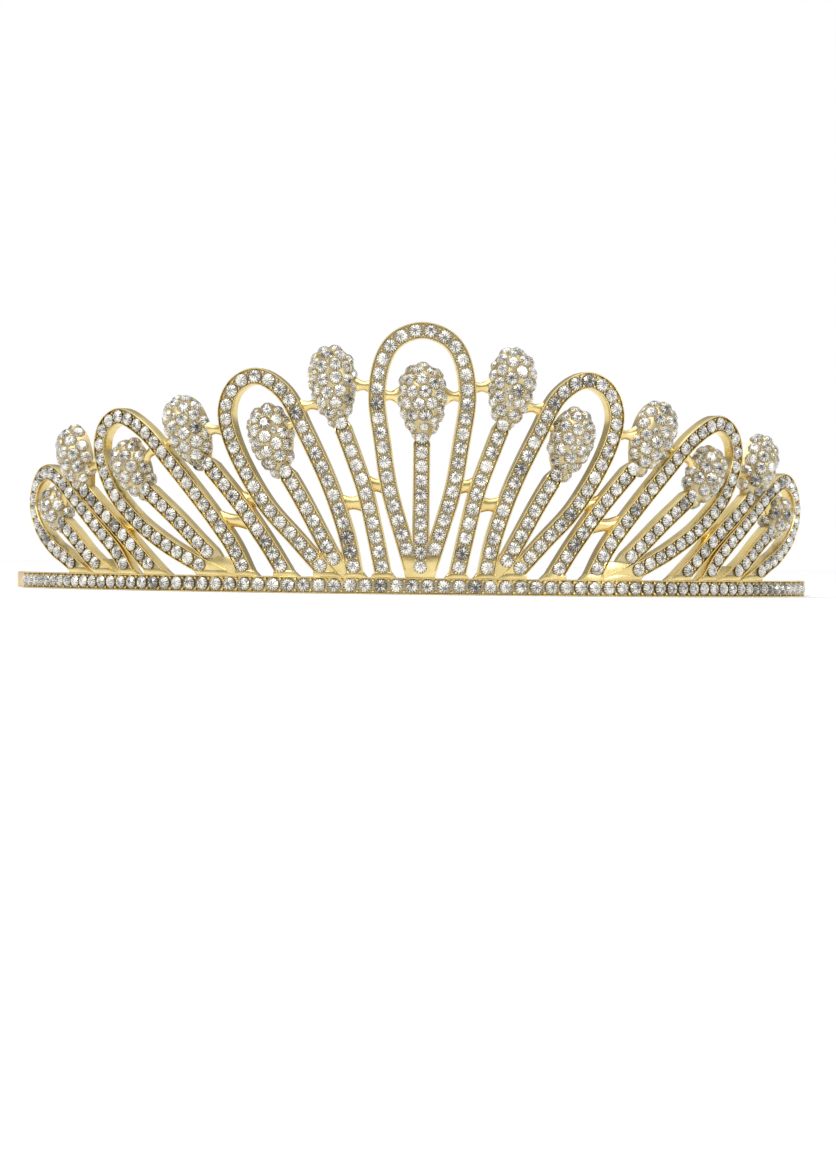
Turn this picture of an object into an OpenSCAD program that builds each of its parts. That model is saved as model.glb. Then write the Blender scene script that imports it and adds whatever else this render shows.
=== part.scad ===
// Stone-set tiara: a cast crest of seven loops and thirteen studded bulbs on a stone rail,
// soldered to a plain headband strip.
// The crest is drawn flat, as a distance s along the band from its front centre, positive to the
// right as seen from the front, and a height z. It is then wrapped round the head curve, with a
// depth d that runs outward from the back face of the casting. Every table holds the right half.

/* [Head curve] */
// Radius of the arc across the front
front_r = 85; // [75:1:100]
// Radius of the two shoulder arcs beside it
shoulder_r = 58; // [54:1:64]
// Radius of the two side arcs
side_r = 81; // [74:1:90]
// Radius of the two plain tails
tail_r = 150; // [100:5:300]
// Length of each plain tail past the rail
tail_l = 36; // [28:0.5:42]

/* [Rail and bars] */
// Stones in each half of the rail
rail_half_n = 35; // [34:1:37]
// Distance between two stones of the rail
rail_pitch = 2.55; // [2.5:0.01:2.65]
// Width of the rail, and of the bars of the loops and stems
bar_w = 2.8; // [2.7:0.1:2.9]
// Depth of the rail and the bars
bar_t = 2.4; // [2.2:0.1:2.4]
// Depth of the channel that the stones sit in
channel_t = 1.2; // [1.15:0.05:1.3]
// Distance between two stones of a loop
loop_pitch = 2.92; // [2.91:0.01:3]

/* [Bulbs] */
// Width of the largest bulb
bulb_w = 8.6; // [7.6:0.1:9]
// How far a bulb stands out from the back of the casting
bulb_t = 5.2; // [4.6:0.1:5.6]

/* [Headband strip] */
// Height of the strip
strip_h = 2.7; // [2.4:0.1:2.7]
// Thickness of the strip
strip_t = 1.5; // [1:0.1:1.8]

/* [Stones] */
// Diameter of a stone
stone_d = 2.2; // [2:0.05:2.25]
// Height of the crown, from the girdle to the table
crown_h = 0.45; // [0.3:0.05:0.6]
// Diameter of the table, as a share of the stone's
table_share = 0.56; // [0.45:0.01:0.65]

/* [Hidden] */

gold = "#d8c074";
crystal = "#e6ecf2";

// Clearance of a stone in its channel, and between two stones
stone_gap = 0.1;
// Seat of a stone: the girdle lies at or just under the rims, the point just above the channel floor
girdle_d = bar_t - stone_gap;
pavilion_h = channel_t - 2 * stone_gap;
channel_w = stone_d + 2 * stone_gap;
facets = 8;
// Distance of the first and last stone of a loop from its feet
first_stone = 1.5;
// Lowest middle of a loop's stone, and of one in the centre loop, which stands over a plate
low_stone = bar_w / 2 + stone_d + stone_gap;
fork_stone = 6.9;

// Rail, measured along the band
rail_z = bar_w / 2;
rail_stop = rail_half_n * rail_pitch;
tail_stop = rail_stop + tail_l;
// Distance between two sections of the rail and the strip
band_step = 4.5;
// Block that closes the channel at each end of the rail. Columns: distance past the last stone's seat,
// share of the rail's height
end_block = [[0.05, 0.8], [1.1, 0.6]];
end_block_d = [0.3, bar_t - 0.3];
rail_end = rail_stop + 0.7;
// A tail past the rail. Columns: distance before the tip, share of the strip's height
tail_rows = [
    [tail_stop - rail_end - 4.5, 1], [tail_stop - rail_end - 9, 1], [tail_stop - rail_end - 14, 1],
    [15.5, 1], [9, 1], [3.4, 0.96], [1.3, 0.78], [0.4, 0.5], [0, 0.28],
];

// Head curve, from the front centre back. Columns: arc length, radius
head_arcs = [[16, front_r], [29, shoulder_r], [60, side_r], [60, tail_r]];

// Height at which loops and stems stand on the rail
foot_z = bar_w;
// How far a stem runs on into the bulb that it carries or the web that carries it
run_on = 1.2;
// How far the loops and the stems lie inside the faces of the rail
loop_inset = 0.1;
stem_inset = 0.2;

// Middle lines of the loops, from the foot nearest the centre over the top. Columns: s, z
center_half = [[1.5, foot_z], [3.2, 10.5], [5.2, 17.6], [6.4, 25], [7.4, 32.5], [6.6, 38.6], [4.2, 42.4]];
center_loop = concat(
    [for (p = center_half) [-p.x, p.y]],
    [[0, 43.9]],
    [for (i = [len(center_half) - 1:-1:0]) center_half[i]]
);
inner_loop = [
    [10.6, foot_z], [12.1, 9.9], [15.2, 18.6], [19.3, 27.2], [22.6, 33.2], [27.2, 36.1],
    [31.4, 34.4], [33, 29.8], [31, 23.4], [25.9, 15], [20.3, 8.9], [14.8, foot_z],
];
middle_loop = [
    [28.8, foot_z], [32, 8.6], [38, 15.8], [44.5, 22.4], [49.6, 26.9], [55.4, 29.6],
    [59.8, 27.8], [60.9, 23.4], [57.6, 17.2], [51.6, 12], [45, 8.1], [39.9, 5.6], [33.8, foot_z],
];
outer_loop = [
    [53, foot_z], [56.4, 6.8], [62.3, 11.3], [68.6, 15.7], [73.2, 18.6], [78.2, 20.2],
    [82.8, 18.6], [84.8, 14.9], [82.2, 11], [76, 7.3], [71.4, 5.5], [65.4, foot_z],
];

side_loops = [inner_loop, middle_loop, outer_loop];
// Rings in each span of a loop between two points of its table
loop_rings = 2;

// Stems that carry the bulbs, from the rail up. Columns: s, z
center_stem = [[0, foot_z], [0, 14], [0, 26.5]];
side_stems = [
    [[14.2, 5.8], [15.8, 8.7], [19.6, 15.7], [22.6, 20.6]],
    [[36.2, 6.8], [38.3, 8.6], [43, 12.6], [49.6, 17.4]],
    [[58.6, foot_z], [63.6, 5.6], [68.2, 8.8], [73, 11.6]],
    [[5.9, foot_z], [7.3, 9.4], [9, 16.7], [10.7, 21.7], [13.4, 28.8]],
    [[21.9, foot_z], [25.7, 8.7], [30.6, 15.2], [36.6, 21.8]],
    [[46.2, foot_z], [51, 6.6], [56.6, 11], [65.6, 17.2]],
];

// Bulbs. Columns: s and z of the bottom, s and z of the top, share of the largest width
center_bulb = [0, 25.6, 0, 38.3, 1];
side_bulbs = [
    [23.3, 19.6, 26.7, 31.2, 0.93],
    [49.8, 15.7, 55.8, 25.1, 0.9],
    [72.8, 10.1, 79, 16.9, 0.8],
    [13.8, 27.9, 15.6, 41, 0.98],
    [37.6, 20.9, 43.3, 32.6, 0.97],
    [65.7, 16.7, 71.7, 27.7, 0.9],
];
// Outline of a bulb. Columns: share of its length, share of its width, share of its swell
bulb_outline = [
    [0, 0.34, 0], [0.16, 0.62, 0.45], [0.38, 0.92, 0.88], [0.62, 1, 1],
    [0.82, 0.88, 0.82], [0.95, 0.56, 0.35], [1, 0.28, 0],
];
// Depth at the ends of a bulb, as a share of the depth of the bars
bulb_rim = 0.85;
// Section of a bulb. Columns: share of its half width, share of its depth
bulb_section = [[-1, 0], [-0.92, 0.6], [-0.42, 1], [0.42, 1], [0.92, 0.6], [1, 0]];

// Cast joints between neighbours, behind the stones. Columns: s and z of one end, s and z of the other
center_links = [[3.4, 33, 7.2, 33]];
side_links = [
    [7.4, 34.4, 11.9, 34.8], [5.3, 18, 9.3, 18.2], [16.4, 31.8, 20.8, 30.8], [8.7, 15.2, 13.8, 15],
    [20, 28.6, 23.4, 27.6], [32.6, 27.2, 38, 27.2], [26.5, 15.6, 30.6, 15.4], [28, 12, 34.8, 12],
    [42.8, 26.4, 46.4, 24.2], [47.2, 24.7, 51.4, 21.8], [60.6, 21.6, 67, 20.6], [50.5, 11.2, 56.4, 11.1],
    [71.4, 17.8, 75, 14.4],
];
link_w = 1.2;
link_d = [0.2, 1.1];

// Cast webs in the forks over the rail, sunk into it behind its stones. Columns: s, z
web_z = bar_w / 2;
center_web = [[-1.5, web_z], [1.5, web_z], [3.2, 6.4], [-3.2, 6.4]];
side_webs = [
    [[10.4, web_z], [15.1, web_z], [18.6, 7], [12.1, 7]],
    [[29, web_z], [35.2, web_z], [40, 5.4], [30.9, 6]],
    [[53.5, web_z], [65, web_z], [67.6, 4.3], [62, 5.3], [55.4, 5.3]],
];
web_d = [0.3, 1.1];
// Plate across the feet of the centre loop and its stem, between their rims. Columns: s, z
fork_plate = [[-2.5, 2.68], [2.5, 2.68], [3.35, 6], [-3.35, 6]];
plate_d = [0.5, 2.1];

// Place and heading on the head curve, s at or past the start of arc i
function walk(s, i = 0, x = 0, y = 0, a = 0) =
    let (
        last = i == len(head_arcs) - 1,
        run = last ? s : min(s, head_arcs[i][0]),
        r = head_arcs[i][1],
        b = a + run / r * 180 / PI,
        nx = x + r * (sin(b) - sin(a)),
        ny = y - r * (cos(b) - cos(a))
    )
    last || s <= head_arcs[i][0] ? [nx, ny, b] : walk(s - run, i + 1, nx, ny, b);

function heading(s) = sign(s) * walk(abs(s))[2];

function curve_at(s, d) =
    let (p = walk(abs(s)))
    [sign(s) * (p.x + d * sin(p[2])), p.y - d * cos(p[2])];

// The origin stands in the middle of the whole tiara
middle_y = (curve_at(0, bulb_t).y + curve_at(tail_stop, -strip_t).y) / 2;

function wrap(s, d, z) = let (p = curve_at(s, d)) [p.x, p.y - middle_y, z];

function mirrored(points) = [for (p = points) [-p.x, p.y]];

// A smooth curve through the points of a table, with its ends continued straight
function spline_point(p, i, u) =
    let (
        b = p[i],
        c = p[i + 1],
        a = i > 0 ? p[i - 1] : 2 * b - c,
        d = i + 2 < len(p) ? p[i + 2] : 2 * c - b
    )
    0.5 * (2 * b + (c - a) * u + (2 * a - 5 * b + 4 * c - d) * u ^ 2
        + (3 * b - 3 * c + d - a) * u ^ 3);

function spline(p, n) = [
    for (i = [0:len(p) - 2], k = [0:n - 1]) spline_point(p, i, k / n),
    p[len(p) - 1],
];

function unit(v) = v / norm(v);

// Vector across a path at its point i: square to the path, or level where the path stands on the rail
function across(p, i) =
    let (v = unit(p[min(i + 1, len(p) - 1)] - p[max(i - 1, 0)]))
    p[i].y == foot_z ? [-1 / v.y, 0] : [-v.y, v.x];

// Table of a path. Columns: distance run, s, z
function measured(p) = [
    for (i = 0, run = 0; i < len(p); run = run + norm(p[min(i + 1, len(p) - 1)] - p[i]), i = i + 1)
        [run, p[i].x, p[i].y]
];

function along(table, run) = [
    lookup(run, [for (r = table) [r[0], r[1]]]),
    lookup(run, [for (r = table) [r[0], r[2]]]),
];

// Stones at equal steps along a path, those whose middle lies no lower than given
function row_of_stones(points, start, lowest) =
    let (
        table = measured(spline(points, loop_rings)),
        length = table[len(table) - 1][0] - 2 * start,
        n = floor(length / loop_pitch)
    )
    [for (k = [0:n], q = [along(table, start + k * length / n)]) if (q.y >= lowest) q];

// Solid between rings of equally many points, closed by the triangles in cap
module ring_solid(rings, cap) {
    n = len(rings[0]);
    last = n * (len(rings) - 1);
    polyhedron(
        points = [for (r = rings, p = r) p],
        faces = [
            each cap,
            for (i = [0:len(rings) - 2], k = [0:n - 1])
                let (a = n * i + k, b = n * i + (k + 1) % n)
                each [[a, a + n, b], [b, a + n, b + n]],
            for (c = cap) [last + c[0], last + c[2], last + c[1]],
        ]
    );
}

block_cap = [[0, 1, 2], [0, 2, 3]];
trough_cap = [[0, 1, 4], [0, 4, 5], [1, 2, 4], [2, 3, 4], [0, 5, 7], [5, 6, 7]];

// Sections across a bar. Columns: distance from the middle line, depth
function block_section(w, d0, d1) = [[-w / 2, d0], [w / 2, d0], [w / 2, d1], [-w / 2, d1]];

function trough_section(inset) =
    let (w = bar_w / 2, c = channel_w / 2, floor_d = bar_t - channel_t, rim_d = bar_t - inset)
    [
        [-w, inset], [w, inset], [w, rim_d], [c, rim_d],
        [c, floor_d], [-c, floor_d], [-c, rim_d], [-w, rim_d],
    ];

// Rings of a section carried along a path of s and z
function swept(path, section) = [
    for (i = [0:len(path) - 1])
        let (side = across(path, i))
        [for (c = section) let (q = path[i] + side * c[0]) wrap(q.x, c[1], q.y)]
];

function run_back(p) = concat([p[0] - run_on * unit(p[1] - p[0])], p);

function run_forward(p) = let (n = len(p) - 1) concat(p, [p[n] + run_on * unit(p[n] - p[n - 1])]);

// Bar with a channel for stones
module stone_bar(path) {
    color(gold) ring_solid(swept(path, trough_section(loop_inset)), trough_cap);
}

// Plain bar
module stem(path) {
    section = block_section(bar_w - stem_inset, stem_inset, bar_t - stem_inset);
    color(gold) ring_solid(swept(path, section), block_cap);
}

module hull_of(points) {
    hull() polyhedron(points = points, faces = [[for (i = [0:len(points) - 1]) i]]);
}

function stations(stop, step) =
    let (n = ceil(2 * stop / step))
    [for (i = [0:n]) -stop + 2 * stop * i / n];

// One solid along the head curve: the strip from tip to tip, with the rail before its middle
module band() {
    w = bar_w / 2;
    c = channel_w / 2;
    floor_d = bar_t - channel_t;
    // Points 0, 1, 2 and 10 are the strip's, the others the rail's. Columns: height, depth
    section = [
        [0, -strip_t], [strip_h, -strip_t], [strip_h, 0], [rail_z + w, 0], [rail_z + w, bar_t],
        [rail_z + c, bar_t], [rail_z + c, floor_d], [rail_z - c, floor_d], [rail_z - c, bar_t],
        [rail_z - w, bar_t], [rail_z - w, 0],
    ];
    whole = [for (k = [0:len(section) - 1]) k];
    strip = [0, 1, 2, 10];
    // Columns: s, share of the strip's height
    rows = concat(
        [for (i = [len(tail_rows) - 1:-1:0]) [tail_rows[i][0] - tail_stop, tail_rows[i][1]]],
        [for (s = stations(rail_end, band_step)) [s, 1]],
        [for (t = tail_rows) [tail_stop - t[0], t[1]]]
    );
    first = len(tail_rows);
    last = len(rows) - 1 - first;
    n = len(section);
    color(gold) polyhedron(
        points = [
            for (q = rows, c = section)
                wrap(q[0], c[1], strip_h / 2 + (c[0] - strip_h / 2) * q[1])
        ],
        faces = [
            [for (k = strip) k],
            for (i = [0:len(rows) - 2])
                let (loop = i >= first && i < last ? whole : strip)
                for (k = [0:len(loop) - 1])
                    let (a = n * i + loop[k], b = n * i + loop[(k + 1) % len(loop)])
                    each [[a, a + n, b], [b, a + n, b + n]],
            [for (k = [2:10]) n * first + k],
            [for (k = [10:-1:2]) n * last + k],
            [for (k = [3:-1:0]) n * (len(rows) - 1) + strip[k]],
        ]
    );
}

module end_blocks() {
    for (side = [-1, 1]) {
        points = [
            for (e = end_block, c = block_section(bar_w * e[1], end_block_d[0], end_block_d[1]))
                wrap(side * (rail_stop + e[0]), c[1], rail_z + c[0])
        ];
        color(gold) hull_of(points);
    }
}

// Flat-backed egg: sections across its axis, swelling outward
module bulb(row) {
    bottom = [row[0], row[1]];
    top = [row[2], row[3]];
    side = let (v = unit(top - bottom)) [-v.y, v.x];
    points = [
        for (o = bulb_outline)
            let (
                p = bottom + (top - bottom) * o[0],
                half = bulb_w / 2 * row[4] * o[1],
                low = bar_t * bulb_rim,
                high = low + (bulb_t - low) * o[2]
            )
            for (c = bulb_section) let (q = p + side * half * c[0]) wrap(q.x, high * c[1], q.y)
    ];
    color(gold) hull_of(points);
}

module link(row) {
    a = [row[0], row[1]];
    b = [row[2], row[3]];
    side = let (v = unit(b - a)) [-v.y, v.x] * link_w / 2;
    points = [for (q = [a - side, a + side, b + side, b - side], d = link_d) wrap(q.x, d, q.y)];
    color(gold) hull_of(points);
}

module web(outline, depths = web_d) {
    points = [for (q = outline, d = depths) wrap(q.x, d, q.y)];
    color(gold) hull_of(points);
}

function flipped(row) = [-row[0], row[1], -row[2], row[3], each [for (i = [4:1:len(row) - 1]) row[i]]];

module crest_bars() {
    stone_bar(spline(center_loop, loop_rings));
    stem(run_forward(center_stem));
    for (l = side_loops) {
        stone_bar(spline(l, loop_rings));
        stone_bar(spline(mirrored(l), loop_rings));
    }
    for (l = side_stems) {
        path = run_forward(l[0].y == foot_z ? l : run_back(l));
        stem(path);
        stem(mirrored(path));
    }
}

module frame() {
    band();
    end_blocks();
    crest_bars();
    web(center_web);
    web(fork_plate, plate_d);
    for (w = side_webs) {
        web(w);
        web(mirrored(w));
    }
    bulb(center_bulb);
    for (r = side_bulbs) {
        bulb(r);
        bulb(flipped(r));
    }
    for (r = concat(center_links, side_links)) {
        link(r);
        link(flipped(r));
    }
}

// Round cut stone: a table, eight crown facets and eight below the girdle, table outward
module cut_stone() {
    hull() {
        cylinder(h = crown_h, d1 = stone_d, d2 = stone_d * table_share, $fn = facets);
        mirror([0, 0, 1])
            cylinder(h = pavilion_h, d1 = stone_d, d2 = 0, $fn = facets);
    }
}

module stones_at(places) {
    color(crystal)
        for (p = places)
            translate(wrap(p.x, girdle_d, p.y))
                rotate([90, 0, heading(p.x)])
                    cut_stone();
}

module rail_stones() {
    stones_at([for (k = [-rail_half_n:rail_half_n - 1]) [(k + 0.5) * rail_pitch, rail_z]]);
}

module loop_stones(points, lowest = low_stone) {
    stones_at(row_of_stones(points, first_stone, lowest));
}

frame();
rail_stones();
loop_stones(center_loop, fork_stone);  // center_loop_stones
loop_stones(inner_loop);  // inner_loop_stones_right
loop_stones(mirrored(inner_loop));  // inner_loop_stones_left
loop_stones(middle_loop);  // middle_loop_stones_right
loop_stones(mirrored(middle_loop));  // middle_loop_stones_left
loop_stones(outer_loop);  // outer_loop_stones_right
loop_stones(mirrored(outer_loop));  // outer_loop_stones_left
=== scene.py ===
"""Stone-set tiara with seven loops and thirteen studded bulbs, dressed for a studio picture."""

import itertools
import logging
import math
import random
from collections.abc import Iterable, Sequence
from dataclasses import dataclass, field
from enum import Enum

import bmesh
import bpy
import numpy as np
from mathutils import Matrix, Vector


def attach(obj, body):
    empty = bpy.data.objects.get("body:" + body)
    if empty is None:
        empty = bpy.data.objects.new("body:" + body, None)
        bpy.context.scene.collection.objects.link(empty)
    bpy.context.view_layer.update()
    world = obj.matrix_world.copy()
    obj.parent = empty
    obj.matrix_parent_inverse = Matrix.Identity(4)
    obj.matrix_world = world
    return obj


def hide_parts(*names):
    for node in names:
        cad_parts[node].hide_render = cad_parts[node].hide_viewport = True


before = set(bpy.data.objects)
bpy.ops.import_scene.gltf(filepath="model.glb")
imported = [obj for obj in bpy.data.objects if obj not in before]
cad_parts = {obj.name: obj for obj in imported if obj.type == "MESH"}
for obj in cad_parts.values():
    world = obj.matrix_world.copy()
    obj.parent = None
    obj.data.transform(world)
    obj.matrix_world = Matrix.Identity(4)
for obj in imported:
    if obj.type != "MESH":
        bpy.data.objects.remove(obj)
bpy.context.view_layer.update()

LOG = logging.getLogger("tiara")
MM = 0.001
BODY = "root"
IMAGE_SIZE = (836, 1156)
# Point attribute that paints shade into the gold's recesses and roughens them.
RECESS_SHADE = "recess"
# Point attribute with each stone's painted reflection brightness.
REFLECTION_TONE = "tone"
STONE_UV = "stone_face"


class Side(Enum):
    """Half of the tiara, as seen from the front."""

    RIGHT = 1
    LEFT = -1

    def table(self, points: Iterable[tuple[float, float]]) -> list[tuple[float, float]]:
        """A table of the right half, carried to this half."""
        return [(self.value * s, z) for s, z in points]


class Slot(Enum):
    """Material slots of the record."""

    GOLD = "gold"
    CRYSTAL = "crystal"


@dataclass(frozen=True)
class HeadCurve:
    """Plan of the band: tangent arcs from the front centre back, the same on both sides."""

    arcs: tuple[tuple[float, float], ...] = ((16, 85), (29, 58), (60, 81), (60, 150))
    stop: float = 125.25
    front_depth: float = 5.2
    strip_thickness: float = 1.5

    def walk(self, run: float) -> tuple[float, float, float]:
        """Place and heading at a distance from the front centre.

        Args:
            run: Distance along the curve in millimetres, not negative.

        Returns:
            x, y and the heading in radians, on the right half.
        """
        x = y = angle = 0.0
        for index, (length, radius) in enumerate(self.arcs):
            last = index == len(self.arcs) - 1
            step = run if last else min(run, length)
            turned = angle + step / radius
            x += radius * (math.sin(turned) - math.sin(angle))
            y -= radius * (math.cos(turned) - math.cos(angle))
            angle = turned
            run -= step
            if run <= 0:
                break
        return x, y, angle

    def plan(self, s: float, d: float) -> tuple[float, float]:
        """Point of the plan at a distance along the band and a depth outward."""
        x, y, angle = self.walk(abs(s))
        return math.copysign(1, s) * (x + d * math.sin(angle)), y - d * math.cos(angle)

    @property
    def middle_y(self) -> float:
        """Half way between the foremost bulb and the tips of the tails."""
        front = self.plan(0, self.front_depth)[1]
        back = self.plan(self.stop, -self.strip_thickness)[1]
        return (front + back) / 2

    def place(self, flat: Vector) -> Vector:
        """Carries a flat point onto the head curve.

        Args:
            flat: Distance along the band, height and depth outward, in millimetres.

        Returns:
            The point in the part's frame, in metres.
        """
        x, y = self.plan(flat.x, flat.z)
        return Vector((x, y - self.middle_y, flat.y)) * MM

    def stand(self, flat: Vector) -> Matrix:
        """Rigid frame at a flat point: x along the band, y up, z outward.

        Args:
            flat: Distance along the band, height and depth outward, in millimetres.

        Returns:
            Matrix from millimetres at that point to metres in the part's frame.
        """
        angle = math.copysign(1, flat.x) * self.walk(abs(flat.x))[2]
        along = Vector((math.cos(angle), math.sin(angle), 0))
        out = Vector((math.sin(angle), -math.cos(angle), 0))
        turn = Matrix((along, Vector((0, 0, 1)), out)).transposed().to_4x4()
        return Matrix.Translation(self.place(flat)) @ turn @ Matrix.Scale(MM, 4)


CURVE = HeadCurve()


class FlatPath:
    """Smooth curve through a table of points in the flat drawing of the crest."""

    def __init__(self, points: Sequence[tuple[float, float]], per_span: int = 10) -> None:
        """Runs a spline through the table.

        Args:
            points: Distance along the band and height of each point, in millimetres.
            per_span: Straight steps between two points of the table.
        """
        table = [Vector(p) for p in points]
        self.points: list[Vector] = []
        for i in range(len(table) - 1):
            b, c = table[i], table[i + 1]
            a = table[i - 1] if i else 2 * b - c
            d = table[i + 2] if i + 2 < len(table) else 2 * c - b
            for k in range(per_span):
                self.points.append(self._between(a, b, c, d, k / per_span))
        self.points.append(table[-1])
        self.runs = [0.0]
        for p, q in zip(self.points, self.points[1:]):
            self.runs.append(self.runs[-1] + (q - p).length)

    @staticmethod
    def _between(a: Vector, b: Vector, c: Vector, d: Vector, u: float) -> Vector:
        """Point of the spline from b to c at share u, with neighbours a and d."""
        return 0.5 * (
            2 * b
            + (c - a) * u
            + (2 * a - 5 * b + 4 * c - d) * u**2
            + (3 * b - 3 * c + d - a) * u**3
        )

    @property
    def length(self) -> float:
        """Whole run of the path."""
        return self.runs[-1]

    def at(self, run: float) -> Vector:
        """Point at a run from the start; past either end it goes on straight."""
        i = 0
        while i < len(self.points) - 2 and self.runs[i + 1] < run:
            i += 1
        span = self.runs[i + 1] - self.runs[i]
        return self.points[i].lerp(self.points[i + 1], (run - self.runs[i]) / span)

    def heading(self, run: float, reach: float = 0.4) -> Vector:
        """Unit direction at a run from the start."""
        return (self.at(run + reach) - self.at(run - reach)).normalized()

    def frame(self, run: float, across: float = 0.0) -> Matrix:
        """Frame of a cross section: x across the path, y the depth, z along the path.

        Args:
            run: Run from the start of the path.
            across: How far the section's middle lies beside the path.

        Returns:
            Matrix in the flat drawing, whose z is the depth.
        """
        way = self.heading(run)
        side = Vector((-way.y, way.x))
        spot = self.at(run) + side * across
        turn = Matrix((side.to_3d(), Vector((0, 0, 1)), way.to_3d())).transposed()
        return Matrix.Translation(spot.to_3d()) @ turn.to_4x4()

    def distance(self, spot: Vector) -> float:
        """Shortest distance from a flat point to the path."""
        best = math.inf
        for p, q in zip(self.points, self.points[1:]):
            leg = q - p
            share = max(0.0, min(1.0, (spot - p).dot(leg) / leg.length_squared))
            best = min(best, (spot - p - leg * share).length)
        return best


class Socket:
    """Output of a shader node that takes part in plain arithmetic."""

    def __init__(self, shader: "Shader", output: bpy.types.NodeSocket) -> None:
        """Wraps one output of a node of this shader."""
        self.shader = shader
        self.output = output

    def _math(self, operation: str, *values: "Socket | float") -> "Socket":
        """Adds a Math node with this operation and these inputs."""
        return self.shader.node("ShaderNodeMath", {"operation": operation}, dict(enumerate(values)))

    def __add__(self, other: "Socket | float") -> "Socket":
        """Sum."""
        return self._math("ADD", self, other)

    __radd__ = __add__

    def __sub__(self, other: "Socket | float") -> "Socket":
        """Difference."""
        return self._math("SUBTRACT", self, other)

    def __rsub__(self, other: float) -> "Socket":
        """Difference from a number."""
        return self._math("SUBTRACT", other, self)

    def __mul__(self, other: "Socket | float") -> "Socket":
        """Product."""
        return self._math("MULTIPLY", self, other)

    __rmul__ = __mul__

    def __truediv__(self, other: "Socket | float") -> "Socket":
        """Quotient."""
        return self._math("DIVIDE", self, other)

    def power(self, other: "Socket | float") -> "Socket":
        """Power."""
        return self._math("POWER", self, other)

    def floor(self) -> "Socket":
        """Whole number below."""
        return self._math("FLOOR", self)

    def wave(self) -> "Socket":
        """Distance to the nearest whole number, from 0 to 0.5."""
        return self._math("PINGPONG", self, 0.5)

    def angle_from(self, other: "Socket") -> "Socket":
        """Angle of the point whose sine part is this and cosine part is other."""
        return self._math("ARCTAN2", self, other)

    def step(self, low: float, high: float) -> "Socket":
        """Smooth rise from 0 at low to 1 at high."""
        settings = {"interpolation_type": "SMOOTHSTEP"}
        return self.shader.node("ShaderNodeMapRange", settings, {0: self, 1: low, 2: high})


class Shader:
    """Node tree of one finish."""

    def __init__(self, name: str) -> None:
        """Makes an empty material with its output node."""
        self.material = bpy.data.materials.new(name)
        self.material.use_nodes = True
        self.tree = self.material.node_tree
        self.tree.nodes.clear()
        self.end = self.tree.nodes.new("ShaderNodeOutputMaterial")

    def node(
        self,
        kind: str,
        settings: dict[str, object] | None = None,
        inputs: dict[str | int, object] | None = None,
        output: str | int = 0,
    ) -> Socket:
        """Adds a node.

        Args:
            kind: Type of the node.
            settings: Its properties, set before its sockets; a ramp's stops go by the name stops.
            inputs: Values or links of its sockets, by name or number.
            output: Which output is wanted.

        Returns:
            That output, ready for arithmetic.
        """
        made = self.tree.nodes.new(kind)
        for name, value in (settings or {}).items():
            if name == "stops":
                self._set_stops(made.color_ramp, value)
            else:
                setattr(made, name, value)
        for key, value in (inputs or {}).items():
            if isinstance(value, Socket):
                self.tree.links.new(value.output, made.inputs[key])
            else:
                made.inputs[key].default_value = value
        return Socket(self, made.outputs[output])

    @staticmethod
    def _set_stops(ramp: bpy.types.ColorRamp, stops: Sequence[tuple[float, tuple]]) -> None:
        """Gives a colour ramp these positions and colours."""
        while len(ramp.elements) < len(stops):
            ramp.elements.new(1.0)
        for element, (position, colour) in zip(ramp.elements, stops):
            element.position = position
            element.color = colour

    def mix(self, share: Socket | float, low: object, high: object) -> Socket:
        """Colour between two colours."""
        inputs = {0: share, 6: low, 7: high}
        return self.node("ShaderNodeMix", {"data_type": "RGBA"}, inputs, 2)

    def noise(self, scale: float, detail: float = 2.0, vector: Socket | None = None) -> Socket:
        """Noise on the object's own coordinates, or on a given vector."""
        spot = vector or self.node("ShaderNodeTexCoord", output="Object")
        return self.node("ShaderNodeTexNoise", {}, {"Vector": spot, "Scale": scale, "Detail": detail})

    def chance(self, seed: Socket) -> Socket:
        """Number from 0 to 1 that looks random and follows from the seed."""
        return self.node("ShaderNodeTexWhiteNoise", {"noise_dimensions": "1D"}, {"W": seed})

    def attribute(self, name: str) -> Socket:
        """Number that each point of the mesh carries under this name."""
        return self.node("ShaderNodeAttribute", {"attribute_name": name}, output="Fac")

    def bump(self, height: Socket, distance: float, strength: float) -> Socket:
        """Normal that follows a height."""
        inputs = {"Height": height, "Distance": distance, "Strength": strength}
        return self.node("ShaderNodeBump", {}, inputs)

    def finish(self, inputs: dict[str, object]) -> bpy.types.Material:
        """Ends the tree in a Principled shader with these inputs and returns the material."""
        surface = self.node("ShaderNodeBsdfPrincipled", {}, inputs)
        self.tree.links.new(surface.output, self.end.inputs["Surface"])
        return self.material


@dataclass(frozen=True)
class CastGold:
    """Pale gold plate over cast metal, in clouds of brighter and mellower tone: bright on the rims, with painted
    shade that turns it a dull ochre down in the recesses, which are also rougher.
    """

    name: str = "cast_gold_plate"
    bright: tuple[float, ...] = (0.92, 0.75, 0.355, 1)
    mellow: tuple[float, ...] = (0.775, 0.61, 0.265, 1)
    # Painted shade: the dull ochre that the recesses are mixed toward.
    recess_shade_colour: tuple[float, ...] = (0.52, 0.455, 0.29, 1)

    def make(self) -> bpy.types.Material:
        """Builds the material."""
        shader = Shader(self.name)
        cloud = shader.noise(260, 3)
        grain = shader.noise(2600, 2)
        recess = shader.attribute(RECESS_SHADE)
        plate = shader.mix(cloud.step(0.35, 0.7), self.mellow, self.bright)
        # Painted shade: points with a recess mark are mixed toward the ochre, as shade would fall in the hollows.
        colour = shader.mix(recess * 0.85, plate, self.recess_shade_colour)
        rough = 0.2 + cloud * 0.12 + recess * 0.16
        height = cloud * 0.7 + grain * 0.3
        return shader.finish(
            {
                "Base Color": colour,
                "Metallic": 1.0,
                "Roughness": rough,
                "Normal": shader.bump(height, 0.00008, 0.5),
            }
        )


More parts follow.
